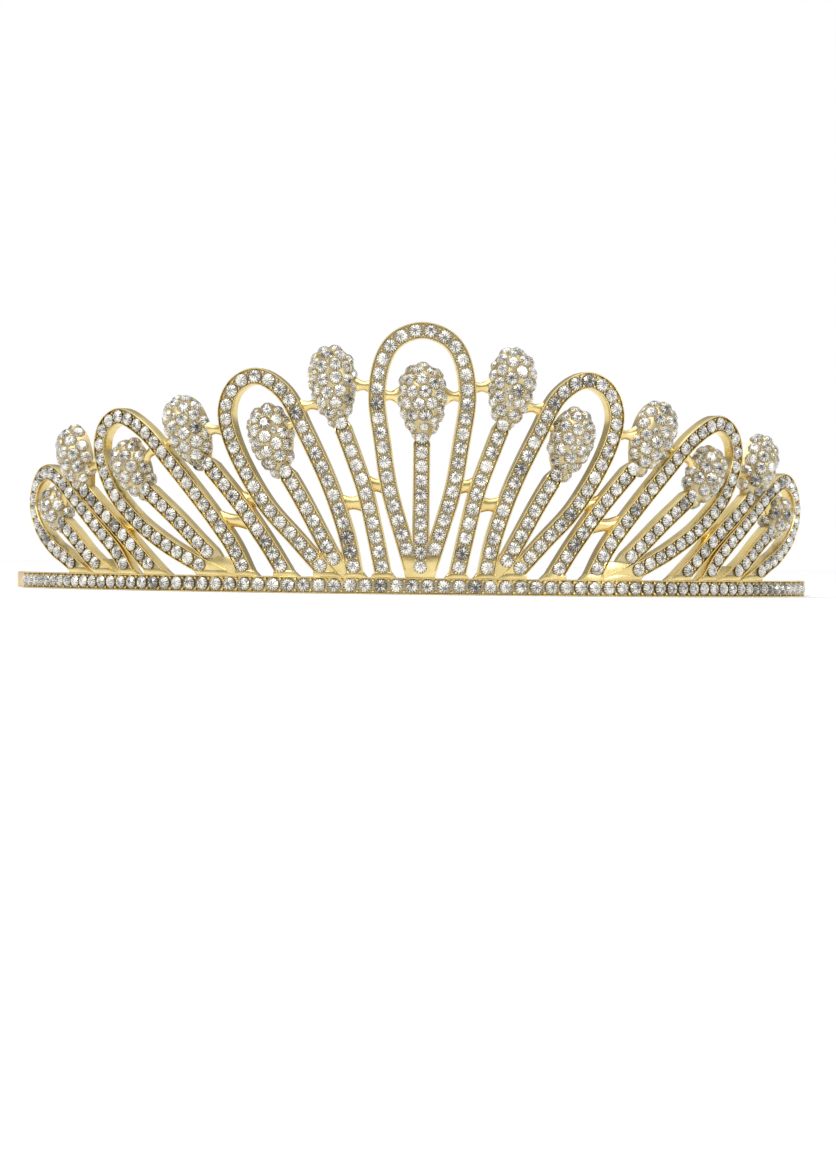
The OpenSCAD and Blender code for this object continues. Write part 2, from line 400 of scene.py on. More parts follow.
@dataclass(frozen=True)
class SatinGold:
    """Rolled and satin-finished gold strip, brushed along its length."""

    name: str = "satin_gold_strip"
    light: tuple[float, ...] = (0.86, 0.68, 0.37, 1)
    dark: tuple[float, ...] = (0.70, 0.52, 0.24, 1)

    def make(self) -> bpy.types.Material:
        """Builds the material."""
        shader = Shader(self.name)
        spot = shader.node("ShaderNodeTexCoord", output="Object")
        laid = shader.node("ShaderNodeMapping", {}, {"Vector": spot, "Scale": (0.02, 0.02, 1)})
        lines = shader.noise(9000, 3, laid)
        cloud = shader.noise(90, 3)
        colour = shader.mix(cloud.step(0.3, 0.75), self.dark, self.light)
        return shader.finish(
            {
                "Base Color": colour,
                "Metallic": 0.9,
                "Roughness": 0.38 + lines * 0.14,
                "Normal": shader.bump(lines, 0.00003, 0.35),
            }
        )


@dataclass(frozen=True)
class CutCrystal:
    """Foil-backed clear stone whose reflections are painted into its colour: grey and white darts, brighter outer
    facets and a dark core stand for the lower facets seen through the crown, and a warm dark ring at the girdle is
    painted shade.
    """

    name: str = "cut_crystal"
    # Bright and dark of the painted reflections.
    light: tuple[float, ...] = (0.98, 0.955, 0.88, 1)
    dark: tuple[float, ...] = (0.075, 0.068, 0.058, 1)
    # Painted shade at the girdle, where the stone meets its setting.
    girdle_shade: tuple[float, ...] = (0.34, 0.28, 0.17, 1)
    lean: float = 0.5

    def make(self) -> bpy.types.Material:
        """Builds the material."""
        shader = Shader(self.name)
        face = shader.node("ShaderNodeUVMap", {"uv_map": STONE_UV})
        u = shader.node("ShaderNodeSeparateXYZ", {}, {0: face}, 0) * 2 - 1
        v = shader.node("ShaderNodeSeparateXYZ", {}, {0: face}, 1) * 2 - 1
        # Painted reflection brightness of each stone.
        tone = shader.attribute(REFLECTION_TONE)
        radius = (u * u + v * v).power(0.5)
        inner_u = u + (shader.chance(tone * 571.3) - 0.5) * self.lean
        inner_v = v + (shader.chance(tone * 839.9) - 0.5) * self.lean
        inner = (inner_u * inner_u + inner_v * inner_v).power(0.5)
        turn = inner_v.angle_from(inner_u) / math.tau
        eighths = (turn * 8).wave() * 2
        sixteenths = (turn * 16 + 0.5).wave() * 2
        chance = shader.chance((turn * 16).floor() * 7.13 + tone * 91.7)
        # Painted reflections: darts, outer facets, a dark core and single facets darker or lighter at random, as the
        # crown catches light and dark surroundings.
        darts = (1 - eighths.step(0.25, 0.5)) * inner.step(0.2, 0.34) * (1 - inner.step(0.52, 0.7))
        edge = sixteenths.step(0.4, 0.6) * radius.step(0.6, 0.7)
        core = 1 - inner.step(0.2, 0.36)
        # Painted shade round the girdle.
        girdle_shade_mask = radius.step(0.88, 0.96)
        shade = darts * 0.7 + edge * 0.6 + core * (1.5 - tone) * 0.8 + chance * 0.6 + (1 - tone) * 0.5
        colour = shader.mix(shade.step(0.24, 1.18), self.light, self.dark)
        colour = shader.mix(girdle_shade_mask * 0.85, colour, self.girdle_shade)
        return shader.finish(
            {
                "Base Color": colour,
                "Metallic": 0.4,
                "Roughness": 0.06,
                "Coat Weight": 0.45,
                "Coat Roughness": 0.02,
                "Coat IOR": 1.6,
            }
        )


@dataclass(frozen=True)
class PaleFloor:
    """Matt white sweep under the piece."""

    name: str = "pale_floor"
    colour: tuple[float, ...] = (0.93, 0.93, 0.925, 1)

    def make(self) -> bpy.types.Material:
        """Builds the material."""
        shader = Shader(self.name)
        cloud = shader.noise(3, 1)
        colour = shader.mix(cloud, self.colour, (0.95, 0.95, 0.95, 1))
        return shader.finish({"Base Color": colour, "Roughness": 0.85})


class Workpiece:
    """Mesh in the making, in the flat drawing: x along the band, y up, z outward, in millimetres."""

    def __init__(self) -> None:
        """Starts an empty mesh that carries the recess mark of painted shade, the stones' painted reflection
        brightness and their face map.
        """
        self.bm = bmesh.new()
        self.bm.verts.layers.float.new(RECESS_SHADE)
        self.bm.verts.layers.float.new(REFLECTION_TONE)
        self.bm.loops.layers.uv.new(STONE_UV)

    def outline(self, spots: Sequence[Vector], marks: Sequence[float] | None = None) -> bmesh.types.BMFace:
        """Face through a few points, to be extruded.

        Args:
            spots: Corners in order.
            marks: Recess mark of each corner, from 0 to 1, which paints shade into the gold and roughens it.

        Returns:
            The new face.
        """
        layer = self.bm.verts.layers.float[RECESS_SHADE]
        corners = [self.bm.verts.new(spot) for spot in spots]
        for corner, mark in zip(corners, marks or [0.0] * len(corners)):
            corner[layer] = mark
        edges = [self.bm.edges.new(pair) for pair in zip(corners, corners[1:] + corners[:1])]
        return bmesh.ops.contextual_create(self.bm, geom=edges)["faces"][0]

    def sweep(
        self,
        section: Sequence[tuple[float, float]],
        frames: Sequence[Matrix],
        marks: Sequence[float] | None = None,
    ) -> None:
        """Carries a section along a row of frames as one closed bar.

        Args:
            section: Corners as distance across and depth.
            frames: Frame of each station.
            marks: Recess mark of each corner, which paints shade into the gold and roughens it.
        """
        face = self.outline([frames[0] @ Vector((u, v, 0)) for u, v in section], marks)
        for before, after in zip(frames, frames[1:]):
            end = [face, *face.edges, *face.verts]
            grown = bmesh.ops.extrude_face_region(self.bm, geom=end)["geom"]
            face = next(g for g in grown if isinstance(g, bmesh.types.BMFace))
            move = after @ before.inverted()
            bmesh.ops.transform(self.bm, matrix=move, verts=face.verts[:])

    def cut_below(self, height: float) -> None:
        """Cuts the mesh off level at a height and closes the cut."""
        geom = self.bm.verts[:] + self.bm.edges[:] + self.bm.faces[:]
        cut = bmesh.ops.bisect_plane(
            self.bm, geom=geom, plane_co=(0, height, 0), plane_no=(0, 1, 0), clear_inner=True
        )["geom_cut"]
        rim = [g for g in cut if isinstance(g, bmesh.types.BMEdge)]
        if rim:
            bmesh.ops.holes_fill(self.bm, edges=rim)

    def outward(self) -> None:
        """Points every face of this closed shape outward."""
        bmesh.ops.recalc_face_normals(self.bm, faces=self.bm.faces[:])

    def mark(self, recess: float, above: float = -math.inf) -> None:
        """Gives every point that lies further out than a depth this recess mark, from 0 to 1: painted shade in the
        gold's colour and extra roughness.
        """
        layer = self.bm.verts.layers.float[RECESS_SHADE]
        for vert in self.bm.verts:
            if vert.co.z > above:
                vert[layer] = recess

    def wrap(self) -> None:
        """Carries the flat mesh onto the head curve."""
        for vert in self.bm.verts:
            vert.co = CURVE.place(vert.co)

    def take(self, other: "Workpiece") -> None:
        """Adds another workpiece to this one and frees it."""
        mesh = bpy.data.meshes.new("passing")
        other.bm.to_mesh(mesh)
        other.bm.free()
        self.bm.from_mesh(mesh)
        bpy.data.meshes.remove(mesh)

    def stamp(self, pattern: bpy.types.Mesh, matrix: Matrix, tone: float = 0.0) -> None:
        """Adds a copy of a small mesh at a place.

        Args:
            pattern: Mesh to copy, in millimetres.
            matrix: Where it goes.
            tone: Brightness of the painted reflection that its points carry.
        """
        first = len(self.bm.verts)
        self.bm.from_mesh(pattern)
        self.bm.verts.ensure_lookup_table()
        fresh = self.bm.verts[first:]
        bmesh.ops.transform(self.bm, matrix=matrix, verts=fresh)
        layer = self.bm.verts.layers.float[REFLECTION_TONE]
        for vert in fresh:
            vert[layer] = tone

    def mesh(self, name: str) -> bpy.types.Mesh:
        """Ends the work and returns the plain mesh."""
        mesh = bpy.data.meshes.new(name)
        self.bm.to_mesh(mesh)
        self.bm.free()
        return mesh

    def piece(
        self,
        name: str,
        material: bpy.types.Material,
        slot: Slot,
        stands_for: Sequence[str] = (),
        smooth_below: float | None = None,
    ) -> bpy.types.Object:
        """Ends the work as a piece of the object.

        Args:
            name: Plain name of the piece.
            material: Its finish.
            slot: Material slot of the record; not used.
            stands_for: Nodes of the frame that it replaces.
            smooth_below: Angle in degrees under which an edge is shaded round, or None for facets.

        Returns:
            The object, riding on the frame.
        """
        mesh = self.mesh(name)
        mesh.materials.append(material)
        if smooth_below is not None:
            mesh.shade_smooth()
            mesh.set_sharp_from_angle(angle=math.radians(smooth_below))
        made = bpy.data.objects.new(name, mesh)
        bpy.context.scene.collection.objects.link(made)
        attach(made, BODY)
        if stands_for:
            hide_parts(*stands_for)
        LOG.info("%s: %d faces", name, len(mesh.polygons))
        return made


@dataclass
class BarSizes:
    """Sizes shared by the loops and the stems, in millimetres."""

    width: float = 2.8
    depth: float = 2.4
    back: float = 0.1
    chamfer: float = 0.22
    seat: float = 1.72
    rim_width: float = 0.23
    rim_top: float = 2.2
    foot: float = 2.8
    sunk: float = 2.62
    stone_pitch: float = 2.5
    stone_radius: float = 1.16
    small_radius: float = 0.8
    girdle: float = 2.02
    ledge: float = 0.6
    buried: float = 5.0
    dive: float = 3.6
    rise: float = 0.3
    taper_start: float = 1.2
    neck_start: float = 1.3
    taper_run: float = 3.6

    def body_section(self) -> tuple[list[tuple[float, float]], list[float]]:
        """Section of a bar under its rims, with the recess mark of each corner: painted shade on the seat floor
        between the rims.
        """
        w, c = self.width / 2, self.chamfer
        corners = [
            (-w + c, self.back),
            (w - c, self.back),
            (w, self.back + c),
            (w, self.seat - 0.05),
            (w - 0.16, self.seat),
            (-w + 0.16, self.seat),
            (-w, self.seat - 0.05),
            (-w, self.back + c),
        ]
        # The seat floor gets full painted shade, the corners beside it a trace.
        return corners, [0, 0, 0, 0.1, 1, 1, 0.1, 0]

    def rim_section(self) -> list[tuple[float, float]]:
        """Section of a rim, round on top."""
        r, low, top = self.rim_width / 2, self.seat - 0.3, self.rim_top
        return [(-r, low), (r, low), (r, top - 0.12), (r * 0.5, top), (-r * 0.5, top), (-r, top - 0.12)]


class StonePattern:
    """Small meshes that are copied many times: the cut stone, the grain and the collar."""

    def __init__(self) -> None:
        """Builds the patterns at their real size, in millimetres."""
        self.stone = self._stone()
        self.grain = self._grain()
        self.collar = self._collar()

    @staticmethod
    def _stone(crown: float = 0.42, pavilion: float = 0.75, table: float = 0.56) -> bpy.types.Mesh:
        """Round cut stone of radius 1: a table, stars, kites and a ring of small facets."""
        work = Workpiece()
        bm = work.bm
        rings = ((8, table, crown, 0.5), (8, 0.8, crown * 0.58, 0.0), (16, 1.0, 0.0, 0.0), (8, 0.12, -pavilion, 0.0))
        for count, radius, height, turn in rings:
            spin = Matrix.Translation((0, 0, height)) @ Matrix.Rotation(turn * math.tau / count, 4, "Z")
            bmesh.ops.create_circle(bm, segments=count, radius=radius, matrix=spin)
        bmesh.ops.convex_hull(bm, input=bm.verts[:])
        bmesh.ops.dissolve_limit(bm, angle_limit=math.radians(2), verts=bm.verts[:], edges=bm.edges[:])
        spare = [edge for edge in bm.edges if not edge.link_faces]
        bmesh.ops.delete(bm, geom=spare, context="EDGES")
        work.outward()
        layer = bm.loops.layers.uv[STONE_UV]
        for facet in bm.faces:
            for loop in facet.loops:
                loop[layer].uv = (loop.vert.co.x / 2 + 0.5, loop.vert.co.y / 2 + 0.5)
        return work.mesh("stone_pattern")

    @staticmethod
    def _grain() -> bpy.types.Mesh:
        """Little raised bead of metal that holds the stones' edges, of radius 1."""
        work = Workpiece()
        bmesh.ops.create_uvsphere(work.bm, u_segments=6, v_segments=4, radius=1)
        return work.mesh("grain_pattern")

    @staticmethod
    def _collar(inner: float = 0.96, outer: float = 1.13, height: float = 0.5) -> bpy.types.Mesh:
        """Cup round a stone on a bulb, for a stone of radius 1."""
        work = Workpiece()
        half = [(inner, -height), (outer, -height), (outer, -0.12), ((inner + outer) / 2, 0.02), (inner, -0.1)]
        corners = [work.bm.verts.new((r, 0, z)) for r, z in half]
        edges = [work.bm.edges.new(pair) for pair in zip(corners, corners[1:] + corners[:1])]
        bmesh.ops.spin(
            work.bm, geom=edges, cent=(0, 0, 0), axis=(0, 0, 1), angle=math.tau, steps=10, use_merge=True
        )
        bmesh.ops.remove_doubles(work.bm, verts=work.bm.verts[:], dist=1e-4)
        work.outward()
        # Painted shade: the whole cup is darkened, a dark ring round each stone.
        work.mark(0.8)
        return work.mesh("collar_pattern")


@dataclass
class Seat:
    """Place of one stone: a frame in metres whose z points out of its table, and its radius."""

    matrix: Matrix
    radius: float


@dataclass
class StoneSetter:
    """Keeps the places of all stones, so that none meets its neighbour."""

    clearance: float = 0.02
    cell: float = 2.6
    reach: float = 14.0
    cells: dict[tuple[int, ...], list[Seat]] = field(default_factory=dict)

    def _cell(self, spot: Vector) -> tuple[int, ...]:
        """Cell of the search grid in which a point lies."""
        return tuple(math.floor(c / (self.cell * MM)) for c in spot)

    def free(self, spot: Vector, radius: float) -> bool:
        """Whether a stone of this radius, in millimetres, fits at a place."""
        home = self._cell(spot)
        for offset in itertools.product((-1, 0, 1), repeat=3):
            for seat in self.cells.get(tuple(map(sum, zip(home, offset))), ()):
                if (spot - seat.matrix.translation).length < (radius + seat.radius + self.clearance) * MM:
                    return False
        return True

    def claim(self, matrix: Matrix, radius: float) -> Seat | None:
        """Takes a place if it is free and returns it."""
        if not self.free(matrix.translation, radius):
            return None
        seat = Seat(matrix, radius)
        self.cells.setdefault(self._cell(matrix.translation), []).append(seat)
        return seat

    def _open(self, spots: np.ndarray, radius: float) -> np.ndarray:
        """Which points of a net leave room for a stone of this radius beside the stones already set."""
        is_open = np.ones(len(spots), dtype=bool)
        middle = Vector(spots.mean(axis=0))
        for seat in itertools.chain.from_iterable(self.cells.values()):
            place = seat.matrix.translation
            if (place - middle).length < self.reach * MM:
                gap = np.linalg.norm(spots - np.array(place), axis=1)
                is_open &= gap >= (radius + seat.radius + self.clearance) * MM
        return is_open

    def pack(self, spots: np.ndarray, radius: float, starts: int = 1) -> list[int]:
        """Fills a fine net as tightly as it goes, each stone in the notch between its two neighbours.

        Args:
            spots: Points of the net, in metres.
            radius: Radius of the stones in millimetres.
            starts: How many first places are tried; the fullest result is kept.

        Returns:
            Numbers of the points that take a stone.
        """
        free = np.flatnonzero(self._open(spots, radius))
        best: list[int] = []
        for first in free[:: max(1, len(free) // starts)][:starts]:
            is_open = np.zeros(len(spots), dtype=bool)
            is_open[free] = True
            nearest = np.ones(len(spots))
            second = np.ones(len(spots))
            picks = []
            pick = int(first)
            while is_open[pick]:
                picks.append(pick)
                gap = np.linalg.norm(spots - spots[pick], axis=1)
                is_open &= gap >= (2 * radius + self.clearance) * MM
                second = np.minimum(second, np.maximum(nearest, gap))
                nearest = np.minimum(nearest, gap)
                pick = int(np.where(is_open, nearest + second, math.inf).argmin())
            best = max(best, picks, key=len)
        return best


@dataclass
class StoneGroup:
    """Stones that make one piece."""

    name: str
    stands_for: tuple[str, ...] = ()
    seats: list[Seat] = field(default_factory=list)

    def build(self, pattern: StonePattern, material: bpy.types.Material, dice: random.Random) -> None:
        """Sets a cut stone in every seat, each turned and tilted a little differently."""
        work = Workpiece()
        for seat in self.seats:
            turn = Matrix.Rotation(dice.uniform(0, math.tau), 4, "Z")
            tilt = Matrix.Rotation(math.radians(dice.gauss(0, 2.2)), 4, "X")
            # Painted reflection brightness: a few stones dark, the rest bright.
            tone = 0.25 if dice.random() < 0.07 else dice.uniform(0.62, 1.0)
            place = seat.matrix @ tilt @ turn @ Matrix.Scale(seat.radius, 4)
            work.stamp(pattern.stone, place, tone)
        work.piece(self.name, material, Slot.CRYSTAL, self.stands_for)


@dataclass(frozen=True)
class Ends:
    """How a bar ends: it stands on the rail unless it dives into a fork or a bulb."""

    in_fork: bool = False
    in_bulb: bool = False


class Crest:
    """Everything above the rail: loops, stems, bulbs, webs and joints, with their stones."""

    foot = 2.8
    center_half = ((0.85, foot), (3.2, 10.5),(5.2, 17.6), (6.4, 25), (7.4, 32.5), (6.6, 38.6), (4.2, 42.4))
    side_loops = {
        "inner": (
            (10.6, foot), (12.1, 9.9), (15.2, 18.6), (19.3, 27.2), (22.6, 33.2), (27.2, 36.1),
            (31.4, 34.4), (33, 29.8), (31, 23.4), (25.9, 15), (20.3, 8.9), (14.8, foot),
        ),
        "middle": (
            (28.8, foot), (32, 8.6), (38, 15.8), (44.5, 22.4), (49.6, 26.9), (55.4, 29.6), (59.8, 27.8),
            (60.9, 23.4), (57.6, 17.2), (51.6, 12), (45, 8.1), (39.9, 5.6), (33.8, foot),
        ),
        "outer": (
            (53, foot), (56.4, 6.8), (62.3, 11.3), (68.6, 15.7), (73.2, 18.6), (78.2, 20.2),
            (82.8, 18.6), (84.8, 14.9), (82.2, 11), (76, 7.3), (71.4, 5.5), (65.4, foot),
        ),
    }
    center_stem = ((0, foot), (0, 14), (0, 26.5))
    side_stems = (
        ((14.2, 5.8), (15.8, 8.7), (19.6, 15.7), (22.6, 20.6)),
        ((36.2, 6.8), (38.3, 8.6), (43, 12.6), (49.6, 17.4)),
        ((58.6, foot), (63.6, 5.6), (68.2, 8.8), (73, 11.6)),
        ((5.9, foot), (7.3, 9.4), (9, 16.7), (10.7, 21.7), (13.4, 28.8)),
        ((21.9, foot), (25.7, 8.7), (30.6, 15.2), (36.6, 21.8)),
        ((46.2, foot), (51, 6.6), (56.6, 11), (65.6, 17.2)),
    )
    center_bulb = (0, 25.6, 0, 38.3, 1)
    side_bulbs = (
        (23.3, 19.6, 26.7, 31.2, 0.93),
        (49.8, 15.7, 55.8, 25.1, 0.9),
        (72.8, 10.1, 79, 16.9, 0.8),
        (13.8, 27.9, 15.6, 41, 0.98),
        (37.6, 20.9, 43.3, 32.6, 0.97),
        (65.7, 16.7, 71.7, 27.7, 0.9),
    )
    links = (
        (3.4, 33, 7.2, 33), (7.4, 34.4, 11.9, 34.8), (5.3, 18, 9.3, 18.2), (16.4, 31.8, 20.8, 30.8),
        (8.7, 15.2, 13.8, 15), (20, 28.6, 23.4, 27.6), (32.6, 27.2, 38, 27.2), (26.5, 15.6, 30.6, 15.4),
        (28, 12, 34.8, 12), (42.8, 26.4, 46.4, 24.2), (47.2, 24.7, 51.4, 21.8), (60.6, 21.6, 67, 20.6),
        (50.5, 11.2, 56.4, 11.1), (71.4, 17.8, 75, 14.4),
    )
    low_link = 20.0
    low_waist = 1.05
    high_waist = 0.72
    fork_stone = 7.6
    fillet_height = 1.0
    fillet_flare = 0.9
    widest_fillet = 3.2
    center_web = ((-2.3, 2.4), (2.3, 2.4), (3.35, 6.6), (-3.35, 6.6))
    side_webs = (
        ((10.4, 1.4), (15.1, 1.4), (18.6, 7), (12.1, 7)),
        ((29, 1.4), (35.2, 1.4), (40, 5.4), (30.9, 6)),
        ((53.5, 1.4), (65, 1.4), (67.6, 4.3), (62, 5.3), (55.4, 5.3)),
    )

    def __init__(self, setter: StoneSetter, pattern: StonePattern, gold: bpy.types.Material) -> None:
        """Lays out the paths of all bars.

        Args:
            setter: Keeper of the stones' places.
            pattern: Meshes that are copied.
            gold: Finish of the metal.
        """
        self.setter = setter
        self.pattern = pattern
        self.gold = gold
        self.sizes = BarSizes()
        whole = Side.LEFT.table(self.center_half) + [(0, 43.9)] + list(reversed(self.center_half))
        self.loops: dict[str, FlatPath] = {"center_loop": FlatPath(whole)}
        self.stems = [FlatPath(self.center_stem)]
        for side in Side:
            for name, points in self.side_loops.items():
                self.loops[f"{name}_loop_{side.name.lower()}"] = FlatPath(side.table(points))
            self.stems += [FlatPath(side.table(points)) for points in self.side_stems]
        self.groups: list[StoneGroup] = []

    def _station(self, path: FlatPath, run: float, ends: Ends, across: float = 0.0) -> Matrix:
        """Frame of a section of a bar, which dwindles where the bar dives into a fork or a bulb.

        Args:
            path: Middle line of the bar.
            run: Run from the start of the path.
            ends: How the bar ends.
            across: How far the section's middle lies beside the path.

        Returns:
            Matrix in the flat drawing.
        """
        past = 0.0
        if ends.in_fork:
            past = max(past, -self.sizes.taper_start - run)
        if ends.in_bulb:
            past = max(past, run - path.length + self.sizes.neck_start)
        share = 1 - past / self.sizes.taper_run
        return path.frame(run, across * share) @ Matrix.Diagonal((share, share, 1, 1))

    def _bar(self, path: FlatPath, others: Sequence[FlatPath], ends: Ends) -> Workpiece:
        """One bar with its two rims, cut off level where it stands on the rail.

        Args:
            path: Middle line.
            others: Middle lines of all other bars.
            ends: How the bar ends.

        Returns:
            The bar in the flat drawing.
        """
        sizes = self.sizes
        work = Workpiece()
        start = -sizes.dive if ends.in_fork else -sizes.buried
        stop = path.length + (sizes.rise if ends.in_bulb else sizes.buried)
        count = max(2, round((stop - start) / 0.9))
        runs = [start + (stop - start) * k / count for k in range(count + 1)]
        section, marks = sizes.body_section()
        work.sweep(section, [self._station(path, run, ends) for run in runs], marks)
        reach = sizes.width / 2 - sizes.rim_width / 2
        near = [p for p in others if self._near(path, p)]
        start = -sizes.taper_start if ends.in_fork else start
        fine = max(4, round((stop - start) / 0.6))
        for across in (-reach, reach):
            kept: list[Matrix] = []
            for k in range(fine + 1):
                station = self._station(path, start + (stop - start) * k / fine, ends, across)
                spot = station.translation.to_2d()
                clear = spot.y > self.foot + sizes.ledge and all(p.distance(spot) > reach - 0.1 for p in near)
                if clear:
                    kept.append(station)
                if kept and (not clear or k == fine):
                    if len(kept) > 1:
                        work.sweep(sizes.rim_section(), kept)
                    kept = []
        work.cut_below(sizes.sunk)
        work.outward()
        return work

    @staticmethod
    def _near(path: FlatPath, other: FlatPath) -> bool:
        """Whether two bars come close to each other anywhere."""
        return any(other.distance(p) < 3.2 for p in path.points[::3])

    @staticmethod
    def _raised(path: FlatPath, run: float, step: float, lowest: float) -> float:
        """Run moved on in these steps until it lies above a height."""
        while path.at(run).y < lowest:
            run += step
        return run

    def _stones_along(
        self, path: FlatPath, start: float, stop: float, group: StoneGroup, lowest: float = 0.0
    ) -> Workpiece:
        """Sets stones at equal steps along a bar, with grains between them.

        Args:
            path: Middle line.
            start: Run of the first stone, or further on where the rail is in its way.
            stop: Run of the last stone, or further back.
            group: Group that the stones join.
            lowest: Height under which the middle of no stone lies.

        Returns:
            The grains, already on the head curve.
        """
        sizes = self.sizes
        lowest = max(lowest, self.foot + sizes.ledge + sizes.stone_radius)
        start = self._raised(path, start, 0.05, lowest)
        stop = self._raised(path, stop, -0.05, lowest)
        count = max(1, round((stop - start) / sizes.stone_pitch))
        step = (stop - start) / count
        grains = Workpiece()
        for k in range(count + 1):
            run = start + step * k
            spot = path.at(run)
            place = CURVE.stand(Vector((*spot, sizes.girdle)))
            seat = self.setter.claim(place, sizes.stone_radius) or self.setter.claim(place, sizes.small_radius)
            if seat is None:
                continue
            group.seats.append(seat)
            if k == count:
                continue
            between = path.frame(run + step / 2)
            for across in (-0.82, 0.82):
                flat = between @ Vector((across, sizes.seat + 0.12, 0))
                matrix = CURVE.stand(flat) @ Matrix.Scale(0.26, 4)
                grains.stamp(self.pattern.grain, matrix)
        return grains

    def build_loops(self) -> None:
        """Builds the seven loops with their stones."""
        bars = list(self.loops.values()) + self.stems
        for name, path in self.loops.items():
            others = [p for p in bars if p is not path]
            work = self._bar(path, others, Ends())
            work.wrap()
            group = StoneGroup(f"stones_on_{name}", (name.replace("loop", "loop_stones"),))
            lowest = self.fork_stone if name == "center_loop" else 0.0
            work.take(self._stones_along(path, 1.2, path.length - 1.2, group, lowest))
            work.piece(name, self.gold, Slot.GOLD, ("frame",), 40)
            self.groups.append(group)

    def build_stems(self) -> None:
        """Builds the thirteen stems with their stones, as one piece."""
        bars = list(self.loops.values()) + self.stems
        whole = Workpiece()
        group = StoneGroup("stones_on_stems")
        for path in self.stems:
            others = [p for p in bars if p is not path]
            stands = self._stands(path)
            work = self._bar(path, others, Ends(in_fork=not stands, in_bulb=True))
            work.wrap()
            work.take(self._stones_along(path, 1.2 if stands else 0.0, path.length - 0.4, group))
            whole.take(work)
        whole.piece("stems", self.gold, Slot.GOLD, ("frame",), 40)
        self.groups.append(group)

    def build_bulbs(self) -> None:
        """Builds the thirteen studded bulbs."""
        whole = Workpiece()
        group = StoneGroup("stones_on_bulbs")
        bulbs = [Bulb(Vector(self.center_bulb[:2]), Vector(self.center_bulb[2:4]), self.center_bulb[4])]
        for side in Side:
            for row in self.side_bulbs:
                low, high = side.table((row[:2], row[2:4]))
                bulbs.append(Bulb(Vector(low), Vector(high), row[4]))
        for bulb in bulbs:
            whole.take(bulb.shell())
            net = bulb.net()
            spots = np.array([CURVE.place(bulb.surface(*place)) for place in net])
            for radius in bulb.stone_radii:
                for pick in self.setter.pack(spots, radius, bulb.starts):
                    seat = self.setter.claim(bulb.seat(*net[pick]), radius)
                    if seat is not None:
                        group.seats.append(seat)
                        whole.stamp(self.pattern.collar, seat.matrix @ Matrix.Scale(radius, 4))
        whole.piece("bulbs", self.gold, Slot.GOLD, ("frame",), 40)
        self.groups.append(group)

    def _stands(self, path: FlatPath) -> bool:
        """Whether a bar stands on the rail."""
        return abs(path.points[0].y - self.foot) < 0.01

    def _fillet(self, path: FlatPath, run: float, front: float) -> Workpiece:
        """Ledge of solder where a bar stands on the rail.

        Args:
            path: Middle line of the bar.
            run: Run at which it meets the rail.
            front: Depth of the ledge's face.

        Returns:
            The ledge on the head curve.
        """
        way = path.heading(run)
        lean = way.x / way.y * self.fillet_height
        half = min(self.sizes.width / 2 / abs(way.y), self.widest_fillet)
        low, high = self.foot - 0.4, self.foot + self.fillet_height
        s = path.at(run).x
        wide = half + self.fillet_flare
        return self._web([(s - wide, low), (s + wide, low), (s + lean + half, high), (s + lean - half, high)], front)

    def build_joints(self) -> None:
        """Builds the ledges, the webs in the forks and the short cast joints between neighbours."""
        whole = Workpiece()
        whole.take(self._web(self.center_web, 1.8))
        feet = [(path, run) for path in list(self.loops.values())[1:] for run in (0.0, path.length)]
        feet += [(path, 0.0) for path in self.stems[1:] if self._stands(path)]
        for index, (path, run) in enumerate(feet):
            whole.take(self._fillet(path, run, 1.86 + 0.03 * (index % 3)))
        for side in Side:
            for points in self.side_webs:
                whole.take(self._web(side.table(points)))
            for row in self.links:
                start, stop = side.table((row[:2], row[2:]))
                waist = self.low_waist if row[1] < self.low_link else self.high_waist
                whole.take(self._link(Vector(start), Vector(stop), waist))
        whole.piece("webs_and_joints", self.gold, Slot.GOLD, ("frame",), 40)

    @staticmethod
    def _web(points: Sequence[tuple[float, float]], front: float = 1.83, back: float = 0.3) -> Workpiece:
        """Plate with softened edges, between a depth at the back and one at the front."""
        work = Workpiece()
        face = work.outline([Vector((s, z, back)) for s, z in points])
        grown = bmesh.ops.extrude_face_region(work.bm, geom=[face])["geom"]
        top = [g for g in grown if isinstance(g, bmesh.types.BMVert)]
        bmesh.ops.translate(work.bm, vec=(0, 0, front - back), verts=top)
        bmesh.ops.bevel(
            work.bm, geom=work.bm.edges[:], offset=0.22, segments=2, affect="EDGES", profile=0.5, material=-1
        )
        bmesh.ops.subdivide_edges(
            work.bm, edges=[e for e in work.bm.edges if e.calc_length() > 2.5], cuts=2, use_grid_fill=True
        )
        work.outward()
        work.wrap()
        return work

    @staticmethod
    def _link(
        start: Vector, stop: Vector, waist: float, flare: float = 2.0, middle: float = 0.9, half: float = 0.68
    ) -> Workpiece:
        """Short cast bridge that widens toward both ends.

        Args:
            start: Flat point in the one neighbour.
            stop: Flat point in the other.
            waist: Half width in the middle.
            flare: Half width at the ends.
            middle: Depth of its middle.
            half: Half its thickness.

        Returns:
            The bridge on the head curve.
        """
        work = Workpiece()
        path = FlatPath((start[:], stop[:]))
        turns = [math.tau * k / 10 for k in range(10)]
        section = [(waist * math.cos(a), middle + half * math.sin(a)) for a in turns]
        frames = []
        for k in range(-5, 6):
            swell = 1 + (flare / waist - 1) * (abs(k) / 5) ** 1.5
            station = path.frame(path.length * (0.5 + k / 10))
            frames.append(station @ Matrix.Scale(swell, 4, (1, 0, 0)))
        work.sweep(section, frames)
        work.outward()
        work.wrap()
        return work


